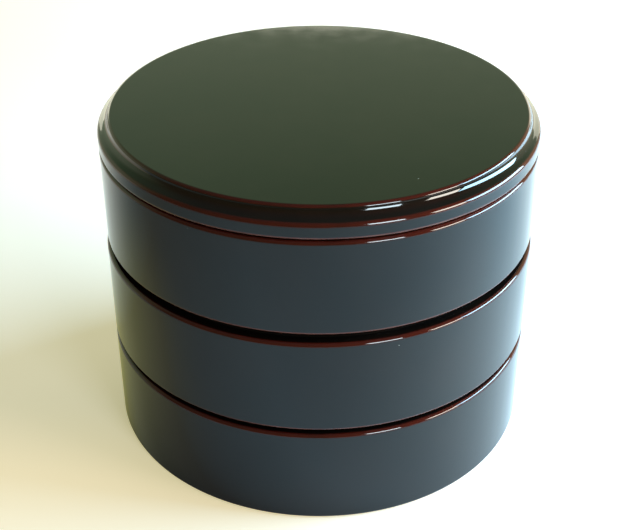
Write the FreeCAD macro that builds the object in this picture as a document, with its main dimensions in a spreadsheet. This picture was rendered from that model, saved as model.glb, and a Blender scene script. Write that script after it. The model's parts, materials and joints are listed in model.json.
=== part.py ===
import FreeCAD
import Part
import Sketcher
import os

# Round three-tier lacquered food box with a flush lid, in millimetres, +Z up.
# The origin is on the axis, at the level of the surface that the box stands on.
# Each tier is a wall hoop, an inner hoop whose top is a raised lip, a base board and a thin seat hoop.
# The lip enters the seat hoop of the piece above and carries that piece, so the walls never touch.

SIZES = (
    # radius at which the outer hoops meet the boards and the inner hoops
    ("core_radius", 87.8),
    # how thick each outer hoop is outside the core radius
    ("bottom_wall", 3.4),
    ("middle_wall", 3.4),
    ("top_wall", 2.8),
    ("lid_wall", 2.8),
    # how tall each tier's wall is, and the shadow gap above it
    ("bottom_height", 43.6),
    ("bottom_gap", 2.35),
    ("middle_height", 41.6),
    ("middle_gap", 3.6),
    ("top_height", 40.5),
    ("top_gap", 0.55),
    # the joint between two pieces
    ("recess_depth", 4.2),
    ("seat_thickness", 1.4),
    ("lip_clearance", 0.35),
    ("lip_thickness", 2.4),
    ("board_thickness", 4.0),
    # the lid's top board, from its seat upwards
    ("lid_rim_band", 2.15),
    ("shoulder_rise", 2.09),
    ("shoulder_width", 3.98),
    ("panel_rise", 3.26),
    ("panel_lean", 0.7),
    ("hollow_margin", 1.5),
    ("hollow_depth", 2.4),
    # roundings
    ("rim_round", 1.7),
    ("edge_round", 1.5),
    ("lip_round", 0.8),
    ("lead_in_round", 0.5),
    ("shoulder_round", 2.4),
    ("panel_round", 1.4),
    ("cove_round", 4.2),
    ("hollow_round", 1.5),
)

# Lengths that several pieces share, worked out from the sizes
SEAT_RADIUS = "(sizes.core_radius - sizes.seat_thickness)"
LIP_RADIUS = f"({SEAT_RADIUS} - sizes.lip_clearance)"
LIP_INNER_RADIUS = f"({LIP_RADIUS} - sizes.lip_thickness)"
FLOOR_LEVEL = "(sizes.recess_depth + sizes.board_thickness)"

# Levels of the pieces' lower edges above the surface that the box stands on
BOTTOM_LEVEL = "0 mm"
MIDDLE_LEVEL = "sizes.bottom_height + sizes.bottom_gap"
TOP_LEVEL = f"{MIDDLE_LEVEL} + sizes.middle_height + sizes.middle_gap"
LID_LEVEL = f"{TOP_LEVEL} + sizes.top_height + sizes.top_gap"

# Every rounding is held to a share of the lengths beside it, so that it still fits when a size is changed

ON_AXIS = "on the axis"
SAME_PLACE = 1e-6

doc = FreeCAD.newDocument("stacking_food_box")
sizes = doc.addObject("Spreadsheet::Sheet", "sizes")
for row, (alias, value) in enumerate(SIZES, start=1):
    sizes.set(f"A{row}", alias)
    sizes.set(f"B{row}", str(value))
    sizes.setAlias(f"B{row}", alias)
doc.recompute()


def length(expression):
    """The value of an expression over the sheet."""
    return float(FreeCAD.Units.Quantity(sizes.evalExpression(expression)).Value)


def section(body, corners):
    """A closed outline of straight lines in the body's XZ plane, with a (radius, level) pair a corner."""
    sketch = body.newObject("Sketcher::SketchObject", f"{body.Label}_section")
    plane = next(item for item in body.Origin.OriginFeatures if item.Role == "XZ_Plane")
    sketch.AttachmentSupport = [(plane, "")]
    sketch.MapMode = "FlatFace"
    points = []
    for radius, level in corners:
        across = 0.0 if radius is ON_AXIS else length(radius)
        points.append(FreeCAD.Vector(across, length(level), 0))
    count = len(points)
    for index in range(count):
        sketch.addGeometry(Part.LineSegment(points[index], points[(index + 1) % count]))
    for index in range(count):
        sketch.addConstraint(Sketcher.Constraint("Coincident", index, 2, (index + 1) % count, 1))
    for index, (radius, level) in enumerate(corners):
        if radius is ON_AXIS:
            sketch.addConstraint(Sketcher.Constraint("PointOnObject", index, 1, -2))
        else:
            fix(sketch, "DistanceX", index, points[index].x, radius)
        fix(sketch, "DistanceY", index, points[index].y, level)
    return sketch


def fix(sketch, kind, line, value, expression):
    """Ties the start of a line to an expression, measured from the sketch's origin."""
    constraint = sketch.addConstraint(Sketcher.Constraint(kind, -1, 1, line, 1, value))
    name = f"{kind}_{line}"
    sketch.renameConstraint(constraint, name)
    sketch.setExpression(f"Constraints.{name}", expression)


def turned(label, level, corners):
    """A body of revolution about Z, with its lower edge at a level."""
    body = doc.addObject("PartDesign::Body", label)
    body.Label = label
    sketch = section(body, corners)
    revolution = body.newObject("PartDesign::Revolution", f"{label}_turned")
    revolution.Profile = sketch
    revolution.ReferenceAxis = (sketch, ["V_Axis"])
    revolution.Angle = 360
    body.setExpression("Placement.Base.z", level)
    doc.recompute()
    return body


def round_edge(body, radius, level, size):
    """Rounds the body's circular edge at a radius and a level of its own."""
    base = body.Tip
    names = []
    for index, edge in enumerate(base.Shape.Edges, start=1):
        if not isinstance(edge.Curve, Part.Circle):
            continue
        off_radius = abs(edge.Curve.Radius - length(radius))
        off_level = abs(edge.Curve.Center.z - length(level))
        if max(off_radius, off_level) < SAME_PLACE:
            names.append(f"Edge{index}")
    if len(names) != 1:
        raise ValueError(f"{body.Label}: {len(names)} edges at {radius}, {level}")
    fillet = body.newObject("PartDesign::Fillet", f"{body.Label}_rounding")
    fillet.Base = (base, names)
    fillet.setExpression("Radius", size)
    doc.recompute()


def hoop(label, level, inner, outer, low, high):
    """A plain hoop between two radii and two levels of its own."""
    return turned(label, level, ((inner, low), (outer, low), (outer, high), (inner, high)))


def wall_hoop(label, level, wall, height):
    """The outer hoop of a tier, or of the lid up to its top board."""
    outer = f"sizes.core_radius + {wall}"
    body = hoop(label, level, "sizes.core_radius", outer, "0 mm", height)
    round_edge(body, outer, "0 mm", f"min(sizes.edge_round; 0.6 * {wall})")
    return body


def seat_hoop(label, level):
    """The thin hoop under a board, which slips over the lip of the piece below."""
    body = hoop(label, level, SEAT_RADIUS, "sizes.core_radius", "0 mm", "sizes.recess_depth")
    round_edge(body, SEAT_RADIUS, "0 mm", "min(sizes.lead_in_round; 0.6 * sizes.seat_thickness)")


def base_board(label, level):
    """The floor of a tier, between its seat hoop and its lip hoop."""
    turned(label, level, (
        (ON_AXIS, "sizes.recess_depth"),
        ("sizes.core_radius", "sizes.recess_depth"),
        ("sizes.core_radius", FLOOR_LEVEL),
        (ON_AXIS, FLOOR_LEVEL),
    ))


def lip_hoop(label, level, height, gap):
    """The inner hoop of a tier, cut back above the wall to make the raised lip."""
    lip_top = f"({height} + {gap} + sizes.recess_depth)"
    body = turned(label, level, (
        (LIP_INNER_RADIUS, FLOOR_LEVEL),
        ("sizes.core_radius", FLOOR_LEVEL),
        ("sizes.core_radius", height),
        (LIP_RADIUS, height),
        (LIP_RADIUS, lip_top),
        (LIP_INNER_RADIUS, lip_top),
    ))
    for radius in (LIP_RADIUS, LIP_INNER_RADIUS):
        round_edge(body, radius, lip_top, "min(sizes.lip_round; 0.45 * sizes.lip_thickness)")


def tier(name, level):
    """One open tier of the stack, as four pieces."""
    wall = f"sizes.{name}_wall"
    height = f"sizes.{name}_height"
    gap = f"sizes.{name}_gap"
    body = wall_hoop(f"{name}_tier_wall_hoop", level, wall, height)
    round_edge(body, f"sizes.core_radius + {wall}", height, f"min(sizes.rim_round; 0.8 * {wall})")
    lip_hoop(f"{name}_tier_lip_hoop", level, height, gap)
    base_board(f"{name}_tier_base_board", level)
    seat_hoop(f"{name}_tier_seat_hoop", level)


def lid_top_board(label, level):
    """The lid's board: a raised flat panel, a wide cove and a rounded shoulder, hollowed inside its seat."""
    outer = "(sizes.core_radius + sizes.lid_wall)"
    foot = f"({outer} - sizes.shoulder_width)"
    panel = f"({foot} - sizes.panel_lean)"
    hollow = f"({LIP_INNER_RADIUS} - sizes.hollow_margin)"
    seat = "sizes.recess_depth"
    ceiling = f"({seat} + sizes.hollow_depth)"
    shoulder_edge = f"({seat} + sizes.lid_rim_band)"
    riser_foot = f"({shoulder_edge} + sizes.shoulder_rise)"
    panel_top = f"({riser_foot} + sizes.panel_rise)"
    body = turned(label, level, (
        (ON_AXIS, ceiling),
        (hollow, ceiling),
        (hollow, seat),
        (outer, seat),
        (outer, shoulder_edge),
        (foot, riser_foot),
        (panel, panel_top),
        (ON_AXIS, panel_top),
    ))
    round_edge(body, outer, shoulder_edge, "min(sizes.shoulder_round; 1.15 * sizes.lid_rim_band)")
    round_edge(body, panel, panel_top, "min(sizes.panel_round; 0.43 * sizes.panel_rise)")
    cove = "min(sizes.cove_round; 1.3 * sizes.panel_rise; 1.06 * sizes.shoulder_width)"
    round_edge(body, foot, riser_foot, cove)
    round_edge(body, hollow, ceiling, "min(sizes.hollow_round; 0.7 * sizes.hollow_depth)")


tier("bottom", BOTTOM_LEVEL)
tier("middle", MIDDLE_LEVEL)
tier("top", TOP_LEVEL)
wall_hoop("lid_skirt_hoop", LID_LEVEL, "sizes.lid_wall", "sizes.recess_depth")
seat_hoop("lid_lining_hoop", LID_LEVEL)
lid_top_board("lid_top_board", LID_LEVEL)
doc.recompute()

for item in doc.Objects:
    if "Invalid" in item.State or "Error" in item.State:
        raise RuntimeError(f"{item.Label} failed: {item.State}")

pieces = [item for item in doc.Objects if item.TypeId == "PartDesign::Body"]
for piece in pieces:
    if piece.Shape.isNull() or not piece.Shape.isValid() or len(piece.Shape.Solids) != 1:
        raise RuntimeError(f"{piece.Label} is not one valid solid")

os.makedirs("parts", exist_ok=True)
for piece in pieces:
    piece.Shape.exportStep(f"parts/{piece.Label}.step")
    box = piece.Shape.optimalBoundingBox()
    print(f"{piece.Label}: radius {box.XMax:.2f}, level {box.ZMin:.2f} to {box.ZMax:.2f}")
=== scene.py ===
import json
import math

import bmesh
import bpy
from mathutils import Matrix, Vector


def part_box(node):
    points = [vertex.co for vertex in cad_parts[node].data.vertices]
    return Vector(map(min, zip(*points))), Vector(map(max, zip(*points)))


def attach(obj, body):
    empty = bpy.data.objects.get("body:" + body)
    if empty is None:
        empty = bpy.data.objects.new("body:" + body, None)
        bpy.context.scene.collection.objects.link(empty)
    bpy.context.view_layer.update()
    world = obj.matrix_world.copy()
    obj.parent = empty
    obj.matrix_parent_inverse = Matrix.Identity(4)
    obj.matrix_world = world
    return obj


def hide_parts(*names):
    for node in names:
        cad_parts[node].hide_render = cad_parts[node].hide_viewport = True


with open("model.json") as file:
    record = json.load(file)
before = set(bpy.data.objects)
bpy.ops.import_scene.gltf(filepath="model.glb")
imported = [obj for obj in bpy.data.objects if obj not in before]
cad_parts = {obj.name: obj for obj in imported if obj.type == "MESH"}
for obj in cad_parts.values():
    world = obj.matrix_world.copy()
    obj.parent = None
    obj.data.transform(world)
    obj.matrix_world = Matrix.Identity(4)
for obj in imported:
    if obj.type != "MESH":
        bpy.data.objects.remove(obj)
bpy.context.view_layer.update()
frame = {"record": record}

# The looks of a round three-tier lacquered food box, in metres, in the frame of its solids.
# Every piece is turned about the Z axis from its own section, so each section is a list of corners.

MM = 0.001
RECORD = frame["record"]
SLOT_OF = {part["node"]: part["material_slot"] for part in RECORD["subparts"]}
BODY_OF = {node: body for body, nodes in RECORD["behaviour"]["bodies"].items() for node in nodes}
TIERS = ("bottom", "middle", "top")

# The joint between two pieces
SEAT_THICKNESS = 1.4 * MM
LIP_CLEARANCE = 0.35 * MM
LIP_THICKNESS = 2.4 * MM

# The lid's top board, from its seat upwards
LID_RIM_BAND = 2.15 * MM
SHOULDER_RISE = 2.09 * MM
SHOULDER_WIDTH = 3.98 * MM
PANEL_LEAN = 0.7 * MM
HOLLOW_MARGIN = 1.5 * MM
HOLLOW_DEPTH = 2.4 * MM

# How thick the lid's flat panel is, as a piece of its own, and how far short of the rounding it ends
PANEL_SKIN = 1.0 * MM
PANEL_SHORT = 0.02 * MM

# Roundings
RIM_ROUND = 1.7 * MM
EDGE_ROUND = 1.5 * MM
LIP_ROUND = 0.8 * MM
LEAD_IN_ROUND = 0.5 * MM
SHOULDER_ROUND = 2.4 * MM
PANEL_ROUND = 1.4 * MM
COVE_ROUND = 4.2 * MM
HOLLOW_ROUND = 1.5 * MM
LEDGE_COVE = 0.35 * MM
FLOOR_COVE = 2.5 * MM

# How finely a section is turned: round the axis, along an arc, beside a corner and along a flat
SEGMENTS = 288
ARC_STEP = math.radians(6)
LEAST_ARC_STEPS = 4
SUPPORT = 0.18 * MM
SHORT_STRETCH = 3 * SUPPORT
FLAT_STEP = 9 * MM

# A radius up to this is on the axis, and an edge that bends by this or more is sharp
ON_AXIS = 1e-6
SHARP = math.radians(30)

# How thin the lacquer is rubbed on a rounding, where its red undercoat glows, and how the glow falls off. The
# barest value, on the lower edges, stands partly for rubbed undercoat and partly for a painted reflection of
# the bright floor
BARE_AND_SHEEN = 2.0
THIN = 1.0
FAINT = 0.35
THICK = 0.0
GLOW_FALL = 0.5
THIN_ATTRIBUTE = "thin_lacquer"


# Sections

def arc_points(before, corner, after, size, thinness):
    """The rounding of a corner, as (radius, level, thinness) points from the one side to the other."""
    here = Vector(corner)
    back = (Vector(before) - here).normalized()
    ahead = (Vector(after) - here).normalized()
    half = back.angle(ahead) / 2
    tangent = size / math.tan(half)
    start = here + back * tangent
    centre = here + (back + ahead).normalized() * (size / math.sin(half))
    sweep = math.pi - 2 * half
    turn = 1 if back.x * ahead.y - back.y * ahead.x < 0 else -1
    steps = max(LEAST_ARC_STEPS, math.ceil(sweep / ARC_STEP))
    spoke = start - centre
    points = []
    for step in range(steps + 1):
        share = step / steps
        angle = turn * sweep * share
        swung = Vector((
            spoke.x * math.cos(angle) - spoke.y * math.sin(angle),
            spoke.x * math.sin(angle) + spoke.y * math.cos(angle),
        ))
        place = centre + swung
        glow = thinness * math.sin(math.pi * share) ** GLOW_FALL
        points.append((place.x, place.y, glow))
    return points


def between(start, end):
    """Points along a straight stretch, with one close to each end so that the flat shades flat."""
    first = Vector(start[:2])
    last = Vector(end[:2])
    length = (last - first).length
    if length < SHORT_STRETCH:
        return []
    count = math.ceil(length / FLAT_STEP)
    margin = SUPPORT / length
    shares = [margin] + [step / count for step in range(1, count)] + [1 - margin]
    return [(*first.lerp(last, share), THICK) for share in shares]


def outline(corners, closed):
    """Points along a section. A corner is (radius, level) or (radius, level, rounding, thinness)."""
    count = len(corners)
    bends = []
    for index, corner in enumerate(corners):
        place = corner[:2]
        if len(corner) == 2:
            bends.append([(*place, THICK)])
            continue
        rounding, thinness = corner[2:]
        before = corners[index - 1][:2]
        after = corners[(index + 1) % count][:2]
        bends.append(arc_points(before, place, after, rounding, thinness))
    points = []
    for index, bend in enumerate(bends):
        points.extend(bend)
        if index == count - 1 and not closed:
            break
        points.extend(between(bend[-1], bends[(index + 1) % count][0]))
    return points


def turned_shape(points, closed):
    """A section's points turned about the Z axis, with each point's thinness kept on its ring."""
    shape = bmesh.new()
    thin = shape.verts.layers.float.new(THIN_ATTRIBUTE)
    rings = []
    for radius, level, glow in points:
        spots = SEGMENTS if radius > ON_AXIS else 1
        ring = []
        for spot in range(spots):
            angle = 2 * math.pi * spot / SEGMENTS
            vertex = shape.verts.new((radius * math.cos(angle), radius * math.sin(angle), level))
            vertex[thin] = glow
            ring.append(vertex)
        rings.append(ring)
    pairs = list(zip(rings, rings[1:]))
    if closed:
        pairs.append((rings[-1], rings[0]))
    for low, high in pairs:
        for spot in range(SEGMENTS):
            after = (spot + 1) % SEGMENTS
            if len(low) == 1:
                face_corners = (low[0], high[after], high[spot])
            elif len(high) == 1:
                face_corners = (low[spot], low[after], high[0])
            else:
                face_corners = (low[spot], low[after], high[after], high[spot])
            face = shape.faces.new(face_corners)
            face.smooth = True
    bmesh.ops.recalc_face_normals(shape, faces=shape.faces)
    for edge in shape.edges:
        edge.smooth = edge.calc_face_angle(0) < SHARP
    return shape


def turned(node, corners, closed=True, part="body"):
    """A new piece that stands for a node or a part of it. An open section begins and ends on the axis."""
    shape = turned_shape(outline(corners, closed), closed)
    mesh = bpy.data.meshes.new(f"{node}_{part}_mesh")
    shape.to_mesh(mesh)
    shape.free()
    piece = bpy.data.objects.new(f"{node}_{part}_lacquered", mesh)
    bpy.context.scene.collection.objects.link(piece)
    piece.data.materials.append(MATERIAL_OF[SLOT_OF[node]])
    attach(piece, BODY_OF[node])
    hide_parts(node)
    return piece


def reach(node):
    """A node's outer radius, lowest level and highest level."""
    low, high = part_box(node)
    return high.x, low.z, high.z


# Radii that the pieces share
CORE = reach("bottom_tier_base_board")[0]
SEAT = CORE - SEAT_THICKNESS
LIP = SEAT - LIP_CLEARANCE
LIP_INNER = LIP - LIP_THICKNESS


# Pieces

def wall_hoop(node, rim_rounding, lower_edge):
    """An outer hoop, rounded at its lower edge and, on a tier, at its rim."""
    outer, low, high = reach(node)
    rim = (outer, high, rim_rounding, THIN) if rim_rounding else (outer, high)
    return turned(node, ((CORE, low), (outer, low, EDGE_ROUND, lower_edge), rim, (CORE, high)))


def seat_hoop(node):
    """The thin hoop that slips over the lip of the piece below."""
    outer, low, high = reach(node)
    turned(node, ((SEAT, low, LEAD_IN_ROUND, THIN), (outer, low), (outer, high), (SEAT, high)))


def base_board(node):
    """The floor of a tier."""
    outer, low, high = reach(node)
    turned(node, ((0, low), (outer, low), (outer, high), (0, high)), closed=False)


def lip_hoop(node, rim):
    """The inner hoop with its raised lip, coved where it meets the ledge and the floor."""
    outer, low, high = reach(node)
    turned(node, (
        (LIP_INNER - FLOOR_COVE - SUPPORT, low),
        (outer, low),
        (outer, rim),
        (LIP, rim, LEDGE_COVE, THICK),
        (LIP, high, LIP_ROUND, THIN),
        (LIP_INNER, high, LIP_ROUND, THIN),
        (LIP_INNER, low, FLOOR_COVE, THICK),
    ))


def lid_top_board(node):
    """The lid's board as two pieces: a flat panel, and an edge with the cove, the shoulder and the hollow."""
    outer, seat, panel_top = reach(node)
    hollow = LIP_INNER - HOLLOW_MARGIN
    ceiling = seat + HOLLOW_DEPTH
    foot = outer - SHOULDER_WIDTH
    shoulder_edge = seat + LID_RIM_BAND
    riser_foot = shoulder_edge + SHOULDER_RISE
    panel = foot - PANEL_LEAN
    corner = math.pi / 2 + math.atan(PANEL_LEAN / (panel_top - riser_foot))
    seam = panel - PANEL_ROUND / math.tan(corner / 2) - PANEL_SHORT
    below = panel_top - PANEL_SKIN
    disc = ((0, below), (seam, below), (seam, panel_top), (0, panel_top))
    turned(node, disc, closed=False, part="panel")
    return turned(node, (
        (0, ceiling),
        (hollow, ceiling, HOLLOW_ROUND, THICK),
        (hollow, seat, LEAD_IN_ROUND, THIN),
        (outer, seat),
        (outer, shoulder_edge, SHOULDER_ROUND, THIN),
        (foot, riser_foot, COVE_ROUND, FAINT),
        (panel, panel_top, PANEL_ROUND, THIN),
        (seam, panel_top),
        (seam, below),
        (0, below),
    ), closed=False, part="edge")


def stack():
    """Dresses every node, from the bottom up, and gives back the pieces whose rounded edges gleam."""
    edged = []
    for tier in TIERS:
        # Lower edges that stand clear of the floor are bare, which paints a reflection of the bright floor on
        # them as well as rubbed undercoat
        lower_edge = THICK if tier == "bottom" else BARE_AND_SHEEN
        edged.append(wall_hoop(f"{tier}_tier_wall_hoop", RIM_ROUND, lower_edge))
        lip_hoop(f"{tier}_tier_lip_hoop", reach(f"{tier}_tier_wall_hoop")[2])
        base_board(f"{tier}_tier_base_board")
        seat_hoop(f"{tier}_tier_seat_hoop")
    # The lid skirt's lower edge also takes the bare value, with its painted floor reflection
    edged.append(wall_hoop("lid_skirt_hoop", None, BARE_AND_SHEEN))
    seat_hoop("lid_lining_hoop")
    edged.append(lid_top_board("lid_top_board"))
    return edged


# Materials

class Graph:
    """A tree of shader nodes, with short words for adding and linking them."""

    def __init__(self, tree):
        self.tree = tree

    def add(self, kind, **settings):
        node = self.tree.nodes.new(kind)
        for name, value in settings.items():
            setattr(node, name, value)
        return node

    def link(self, source, target):
        self.tree.links.new(source, target)

    def feed(self, socket, value):
        """Sets a socket to a plain value, or links it to another node's output."""
        if isinstance(value, bpy.types.NodeSocket):
            self.link(value, socket)
        else:
            socket.default_value = value

    def math(self, operation, first, second):
        node = self.add("ShaderNodeMath", operation=operation)
        self.feed(node.inputs[0], first)
        self.feed(node.inputs[1], second)
        return node.outputs[0]

    def spread(self, value, span, to=(0.0, 1.0)):
        """Maps a value smoothly from one span to another."""
        node = self.add("ShaderNodeMapRange", interpolation_type="SMOOTHSTEP")
        for socket, number in zip(node.inputs, (value, *span, *to)):
            self.feed(socket, number)
        return node.outputs["Result"]

    def mix(self, share, first, second):
        """A mix of two colours, from the first at 0 to the second at 1."""
        node = self.add("ShaderNodeMix", data_type="RGBA")
        self.feed(node.inputs["Factor"], share)
        colours = [socket for socket in node.inputs if socket.type == "RGBA"]
        self.feed(colours[0], first)
        self.feed(colours[1], second)
        return next(socket for socket in node.outputs if socket.type == "RGBA")

    def noise(self, place, size, detail, roughness=0.5):
        """Soft noise whose lumps are about a size across."""
        node = self.add("ShaderNodeTexNoise")
        self.link(place, node.inputs["Vector"])
        node.inputs["Scale"].default_value = 1 / size
        node.inputs["Detail"].default_value = detail
        node.inputs["Roughness"].default_value = roughness
        return node.outputs["Fac"]

    def bump(self, height, depth):
        """A bump node that raises a surface by up to a depth."""
        node = self.add("ShaderNodeBump")
        self.link(height, node.inputs["Height"])
        node.inputs["Strength"].default_value = 1.0
        node.inputs["Distance"].default_value = depth
        return node


def new_material(name):
    """A new material, its graph and its shader."""
    material = bpy.data.materials.new(name)
    material.use_nodes = True
    graph = Graph(material.node_tree)
    return material, graph, material.node_tree.nodes["Principled BSDF"]


# Colours of the lacquer: its dark body, its cloudier body, its thin red edges, its pale red lower edges,
# which are rubbed undercoat with a painted reflection of the bright floor, and the dust on it
DARK_BODY = (0.0042, 0.0028, 0.0022, 1)
CLOUDY_BODY = (0.0075, 0.0042, 0.003, 1)
INNER_BODY = (0.0035, 0.0028, 0.0026, 1)
INNER_CLOUDY = (0.006, 0.0042, 0.0034, 1)
THIN_BROWN = (0.014, 0.004, 0.0026, 1)
THIN_RED = (0.056, 0.0062, 0.0032, 1)
# Pale red of the bare lower edges: rubbed red undercoat plus a painted reflection of the bright floor
BARE_AND_SHEEN_RED = (0.135, 0.04, 0.026, 1)
DUST = (0.42, 0.42, 0.38, 1)

# How the lacquer shines: its roughness from clean to smeared, and its specular level
LACQUER_IOR = 1.52
OUTER_GLOSS = (0.04, 0.075)
OUTER_SHINE = 0.5
INNER_GLOSS = (0.1, 0.18)
INNER_SHINE = 0.22

# How high its slow ripples and its fine orange peel stand
OUTER_RIPPLE = 0.01 * MM
OUTER_PEEL = 0.0012 * MM
INNER_RIPPLE = 0.02 * MM
INNER_PEEL = 0.002 * MM

# How far across its patterns are
CLOUD_SIZE = 26 * MM
EDGE_PATCH_SIZE = 14 * MM
SMEAR_SIZE = 9 * MM
RIPPLE_SIZE = 16 * MM
PEEL_SIZE = 1.6 * MM

# The stretch of each noise that counts, from not at all to in full
CLOUD_SPAN = (0.35, 0.7)
EDGE_PATCH_SPAN = (0.25, 0.7)
SMEAR_SPAN = (0.3, 0.75)

# How much the patches vary the wear of an edge, and the wear at which each edge colour comes in; the bare
# colour, which also paints a reflection of the bright floor on the lower edges, comes in last
EDGE_PATCH_WEAR = (0.78, 1.08)
GLOW_SPAN = (0.05, 0.7)
RED_SPAN = (0.3, 1.0)
BARE_AND_SHEEN_SPAN = (1.1, 2.0)

# Specks of dust: one place to a cell, of which few hold a speck, with a solid middle
DUST_CELL = 6 * MM
DUST_SPECK = 0.26 * MM
DUST_MIDDLE = 0.4 * DUST_SPECK
DUST_CHANCE = 0.06
DUST_ROUGHNESS = 0.7


def dust_specks(graph, place):
    """Where the few specks of dust lie, from 0 to 1."""
    cells = graph.add("ShaderNodeTexVoronoi")
    graph.link(place, cells.inputs["Vector"])
    cells.inputs["Scale"].default_value = 1 / DUST_CELL
    speck_edge = (DUST_MIDDLE / DUST_CELL, DUST_SPECK / DUST_CELL)
    near = graph.spread(cells.outputs["Distance"], speck_edge, (1, 0))
    picks = graph.add("ShaderNodeSeparateColor")
    graph.link(cells.outputs["Color"], picks.inputs[0])
    chosen = graph.math("LESS_THAN", picks.outputs[0], DUST_CHANCE)
    return graph.math("MULTIPLY", near, chosen)


def lacquer(name, body, cloudy, gloss, shine, ripple, peel):
    """Polished translucent lacquer: dark where thick, red-brown where rubbed thin, pale red on the lower
    edges as rubbed undercoat with a painted reflection of the bright floor, with a little dust.
    """
    material, graph, shader = new_material(name)
    place = graph.add("ShaderNodeTexCoord").outputs["Object"]
    thin = graph.add("ShaderNodeAttribute", attribute_name=THIN_ATTRIBUTE).outputs["Fac"]

    clouds = graph.noise(place, CLOUD_SIZE, detail=4)
    deep = graph.mix(graph.spread(clouds, CLOUD_SPAN), body, cloudy)
    patches = graph.noise(place, EDGE_PATCH_SIZE, detail=3)
    rubbed = graph.math("MULTIPLY", thin, graph.spread(patches, EDGE_PATCH_SPAN, EDGE_PATCH_WEAR))
    edge = graph.mix(graph.spread(rubbed, RED_SPAN), THIN_BROWN, THIN_RED)
    glow = graph.mix(graph.spread(rubbed, GLOW_SPAN), deep, edge)
    # Past the bare span the colour turns pale red: rubbed undercoat plus a painted reflection of the bright
    # floor on the lower edges
    worn_and_sheen = graph.mix(graph.spread(rubbed, BARE_AND_SHEEN_SPAN), glow, BARE_AND_SHEEN_RED)
    speck = dust_specks(graph, place)
    graph.link(graph.mix(speck, worn_and_sheen, DUST), shader.inputs["Base Color"])

    smears = graph.noise(place, SMEAR_SIZE, detail=5, roughness=0.6)
    polish = graph.spread(smears, SMEAR_SPAN, gloss)
    dusty = graph.math("MULTIPLY", speck, DUST_ROUGHNESS)
    graph.link(graph.math("MAXIMUM", polish, dusty), shader.inputs["Roughness"])

    slow = graph.bump(graph.noise(place, RIPPLE_SIZE, detail=1), ripple)
    fine = graph.bump(graph.noise(place, PEEL_SIZE, detail=2), peel)
    graph.link(slow.outputs["Normal"], fine.inputs["Normal"])
    graph.link(fine.outputs["Normal"], shader.inputs["Normal"])
    shader.inputs["IOR"].default_value = LACQUER_IOR
    shader.inputs["Specular IOR Level"].default_value = shine
    return material


MATERIAL_OF = {
    "outer_lacquer": lacquer(
        "outer_lacquer_finish", DARK_BODY, CLOUDY_BODY,
        OUTER_GLOSS, OUTER_SHINE, OUTER_RIPPLE, OUTER_PEEL,
    ),
    "inner_lacquer": lacquer(
        "inner_lacquer_finish", INNER_BODY, INNER_CLOUDY,
        INNER_GLOSS, INNER_SHINE, INNER_RIPPLE, INNER_PEEL,
    ),
}


# Stage: a pale floor, three soft windows on the right, a soft board behind and a dim warm room
WHITE = (1, 1, 1, 1)
BLACK = (0, 0, 0, 1)

# The floor's half side, the distances between which it fades to white, its paper and its shine
FLOOR_HALF = 4.0
FLOOR_FADE = (0.55, 0.95)
FLOOR_GRAIN_SIZE = 4 * MM
FLOOR_GRAIN_SPAN = (0.3, 0.7)
FLOOR_ROUGHNESS = (0.75, 0.9)
FLOOR_SHINE = 0.2

# The floor's colour as it lights the box and as the camera sees it
FLOOR_COLOUR = (0.68, 0.68, 0.7, 1)
FLOOR_SEEN_COLOUR = (0.86, 0.72, 0.72, 1)

# The floor's glow as the camera sees it, which is warmer in front of a stretch of Y
FLOOR_GLOW = (0.37, 0.355, 0.2, 1)
FLOOR_FRONT_GLOW = (0.51, 0.445, 0.225, 1)
FLOOR_FRONT = (-0.08, -0.01)

# The floor's glow in reflections: behind a stretch of Y, and beside the box by centre, reach and colour
FLOOR_BACK_GLOW = (0.6, 0.5, 0.34, 1)
FLOOR_BACK = (0.0, 0.2)
FLOOR_SIDE_GLOWS = (
    ((-0.15, 0.03, 0), (0.03, 0.16), (0.26, 0.24, 0.035, 1)),
    ((0.13, -0.03, 0), (0.02, 0.2), (0.5, 0.6, 0.65, 1)),
)


def floor_paper():
    """The floor's pale paper, with one glow for the camera and another for reflections."""
    material, graph, shader = new_material("floor_paper")
    place = graph.add("ShaderNodeTexCoord").outputs["Object"]
    away = graph.add("ShaderNodeVectorMath", operation="LENGTH")
    graph.link(place, away.inputs[0])
    far = graph.spread(away.outputs["Value"], FLOOR_FADE)
    spot = graph.add("ShaderNodeSeparateXYZ")
    graph.link(place, spot.inputs[0])
    ray = graph.add("ShaderNodeLightPath").outputs

    grain = graph.noise(place, FLOOR_GRAIN_SIZE, detail=4)
    graph.link(graph.spread(grain, FLOOR_GRAIN_SPAN, FLOOR_ROUGHNESS), shader.inputs["Roughness"])
    shader.inputs["Specular IOR Level"].default_value = FLOOR_SHINE
    seen_colour = graph.mix(far, FLOOR_SEEN_COLOUR, BLACK)
    colour = graph.mix(ray["Is Camera Ray"], FLOOR_COLOUR, seen_colour)
    graph.link(colour, shader.inputs["Base Color"])

    front = graph.spread(spot.outputs["Y"], FLOOR_FRONT, (1, 0))
    seen_glow = graph.mix(far, graph.mix(front, FLOOR_GLOW, FLOOR_FRONT_GLOW), WHITE)
    mirrored_glow = BLACK
    for centre, glow_reach, side_glow in FLOOR_SIDE_GLOWS:
        off = graph.add("ShaderNodeVectorMath", operation="DISTANCE")
        graph.link(place, off.inputs[0])
        off.inputs[1].default_value = centre
        inside = graph.spread(off.outputs["Value"], glow_reach, (1, 0))
        mirrored_glow = graph.mix(inside, mirrored_glow, side_glow)
    behind = graph.spread(spot.outputs["Y"], FLOOR_BACK)
    mirrored_glow = graph.mix(behind, mirrored_glow, FLOOR_BACK_GLOW)
    glow = graph.mix(ray["Is Camera Ray"], mirrored_glow, seen_glow)
    graph.link(glow, shader.inputs["Emission Color"])
    shown = graph.math("MAXIMUM", ray["Is Camera Ray"], ray["Is Glossy Ray"])
    graph.link(shown, shader.inputs["Emission Strength"])
    return material


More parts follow.
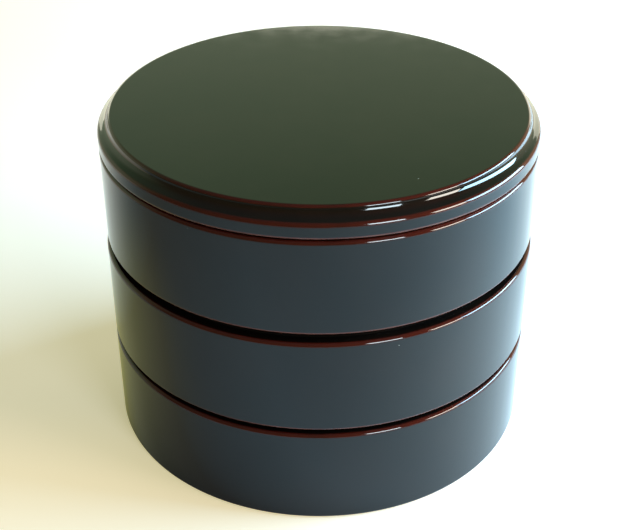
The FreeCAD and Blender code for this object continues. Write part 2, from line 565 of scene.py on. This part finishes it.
def floor():
    """A flat square floor under the box."""
    mesh = bpy.data.meshes.new("floor_mesh")
    half = FLOOR_HALF
    corners = [(-half, -half, 0), (half, -half, 0), (half, half, 0), (-half, half, 0)]
    mesh.from_pydata(corners, [], [(0, 1, 2, 3)])
    plane = bpy.data.objects.new("floor", mesh)
    bpy.context.scene.collection.objects.link(plane)
    mesh.materials.append(floor_paper())


# Lights, by azimuth and elevation in degrees from the point that they face
LIGHT_AIM = Vector((0, 0, 0.1))
WINDOW_COOL = (0.46, 0.79, 1.0)
WINDOW_PALE = (0.74, 0.92, 1.0)
WINDOW_WARM = (1.0, 0.95, 0.84)
BOARD_WARM = (1.0, 0.96, 0.78)

# Each window's light on matt surfaces
WINDOWS = (
    {"name": "window_near", "azimuth": 31.6, "elevation": 15, "distance": 2.2,
     "width": 0.64, "height": 0.58, "radiance": 17.0, "colour": WINDOW_PALE},
    {"name": "window_middle", "azimuth": 64, "elevation": 15, "distance": 2.2,
     "width": 0.66, "height": 0.58, "radiance": 15.5, "colour": WINDOW_WARM},
    {"name": "window_far", "azimuth": 99, "elevation": 17, "distance": 0.85,
     "width": 0.82, "height": 0.28, "radiance": 44.0, "colour": WINDOW_COOL},
)

# Each window's gleam on rounded edges, a little nearer than the window
GLEAMS = (
    {"name": "gleam_near", "azimuth": 31.6, "elevation": 15, "distance": 2.18,
     "width": 0.64, "height": 0.55, "radiance": 23.0, "colour": WINDOW_PALE},
    {"name": "gleam_middle", "azimuth": 64, "elevation": 15, "distance": 2.18,
     "width": 0.66, "height": 0.58, "radiance": 19.0, "colour": WINDOW_WARM},
    {"name": "gleam_far", "azimuth": 92.6, "elevation": 16.5, "distance": 0.83,
     "width": 0.585, "height": 0.25, "radiance": 32.0, "colour": WINDOW_COOL},
)

# The pale board behind, which shows on the back of the lid's cove
BOARD = {"name": "board_behind", "azimuth": 177, "elevation": 9.7, "distance": 1.3,
         "width": 2.0, "height": 0.558, "radiance": 2.3, "colour": BOARD_WARM}


def soft_light(name, azimuth, elevation, distance, width, height, radiance, colour):
    """A flat rectangular light that faces the box. Azimuth runs from the front, -Y, towards +X."""
    data = bpy.data.lights.new(name, "AREA")
    data.shape = "RECTANGLE"
    data.size = width
    data.size_y = height
    data.energy = radiance * math.pi * width * height
    data.color = colour
    light = bpy.data.objects.new(name, data)
    bpy.context.scene.collection.objects.link(light)
    angle = math.radians(azimuth)
    tilt = math.radians(elevation)
    out = Vector((
        math.sin(angle) * math.cos(tilt),
        -math.cos(angle) * math.cos(tilt),
        math.sin(tilt),
    ))
    light.location = LIGHT_AIM + out * distance
    light.rotation_mode = "QUATERNION"
    light.rotation_quaternion = (-out).to_track_quat("-Z", "Y")
    light.visible_camera = False
    return light


def lights(edged):
    """Soft windows, which gleam on the edged pieces only, and a pale board behind."""
    edges = bpy.data.collections.new("edged_pieces")
    for piece in edged:
        edges.objects.link(piece)
    for window in WINDOWS:
        light = soft_light(**window)
        light.visible_glossy = False
    for gleam in GLEAMS:
        light = soft_light(**gleam)
        light.visible_diffuse = False
        light.light_linking.receiver_collection = edges
    soft_light(**BOARD)


# The room around: its colours, and the stretches of direction over which they change
ROOM_TOP = (0.13, 0.13, 0.11, 1)
ROOM_BACK = (0.285, 0.45, 0.235, 1)
ROOM_FRONT = (0.13, 0.11, 0.06, 1)
ROOM_LOW = (0.57, 0.7, 0.45, 1)
ROOM_FRONT_TO_BACK = (-0.2, 0.6)
ROOM_SIDES_TO_TOP = (0.42, 0.95)
ROOM_LOW_TO_SIDES = (0.3, 0.56)


def room():
    """A dim room, lighter low down behind the box, and white where the camera looks past the floor."""
    world = bpy.data.worlds.new("room")
    bpy.context.scene.world = world
    world.use_nodes = True
    graph = Graph(world.node_tree)
    direction = graph.add("ShaderNodeSeparateXYZ")
    graph.link(graph.add("ShaderNodeTexCoord").outputs["Generated"], direction.inputs[0])
    behind = graph.spread(direction.outputs["Y"], ROOM_FRONT_TO_BACK)
    sides = graph.mix(behind, ROOM_FRONT, ROOM_BACK)
    upper = graph.mix(graph.spread(direction.outputs["Z"], ROOM_SIDES_TO_TOP), sides, ROOM_TOP)
    low = graph.spread(direction.outputs["Z"], ROOM_LOW_TO_SIDES, (1, 0))
    around = graph.mix(graph.math("MULTIPLY", behind, low), upper, ROOM_LOW)
    seen = graph.add("ShaderNodeLightPath").outputs["Is Camera Ray"]
    background = world.node_tree.nodes["Background"]
    graph.link(graph.mix(seen, around, WHITE), background.inputs["Color"])
    background.inputs["Strength"].default_value = 1.0


# The camera, where it stood for the photograph; lens and sensor are in millimetres
CAMERA_PLACE = Vector((0.33, -454.8, 353.6)) * MM
CAMERA_AIM = Vector((0.33, 0, 64.8)) * MM
CAMERA_LENS = 68.14
CAMERA_SENSOR = 36
CAMERA_NEAREST = 10 * MM


def camera():
    """The camera at the photograph's viewing angle."""
    data = bpy.data.cameras.new("camera")
    data.lens = CAMERA_LENS
    data.sensor_width = CAMERA_SENSOR
    data.clip_start = CAMERA_NEAREST
    eye = bpy.data.objects.new("camera", data)
    bpy.context.scene.collection.objects.link(eye)
    eye.location = CAMERA_PLACE
    eye.rotation_mode = "QUATERNION"
    eye.rotation_quaternion = (CAMERA_AIM - CAMERA_PLACE).to_track_quat("-Z", "Y")
    bpy.context.scene.camera = eye


edged_pieces = stack()
floor()
lights(edged_pieces)
room()
camera()
bpy.context.scene.view_settings.view_transform = "Standard"
